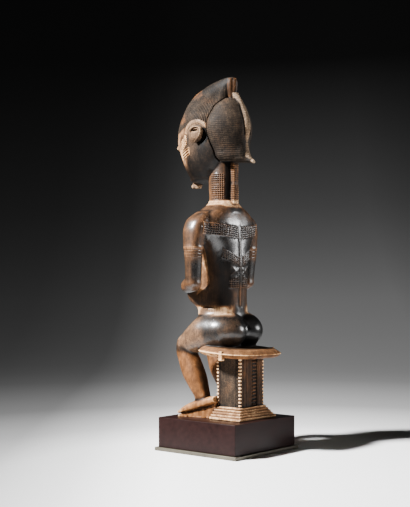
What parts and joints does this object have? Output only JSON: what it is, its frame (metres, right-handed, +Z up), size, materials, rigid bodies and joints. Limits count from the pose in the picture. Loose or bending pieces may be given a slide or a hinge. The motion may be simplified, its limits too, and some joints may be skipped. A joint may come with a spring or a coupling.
{
  "type": "wooden statuette of a seated figure on a plinth",
  "caption": "Carved wooden figure seated on a toothed stool with a stepped foot, with a crested coiffure and hands on the belly, standing on its square display plinth.",
  "frame": {"origin": "middle of the plinth's underside", "axes": "+Z up, the figure faces -Y and its own left side is +X"},
  "size_m": [0.153, 0.16, 0.5405],
  "materials": {
    "patinated_wood": "carved hardwood with a dark glossy hand patina, worn to tan raw wood on the edges, the legs and the stool",
    "stained_wood": "dark purple-brown stained wood, satin sides and a glossier top",
    "bronzed_plate": "thin grey-olive base plate, satin"
  },
  "bodies": {
    "root": {"statuette": "patinated_wood", "plinth_block": "stained_wood", "plinth_plate": "bronzed_plate"}
  },
  "joints": []
}
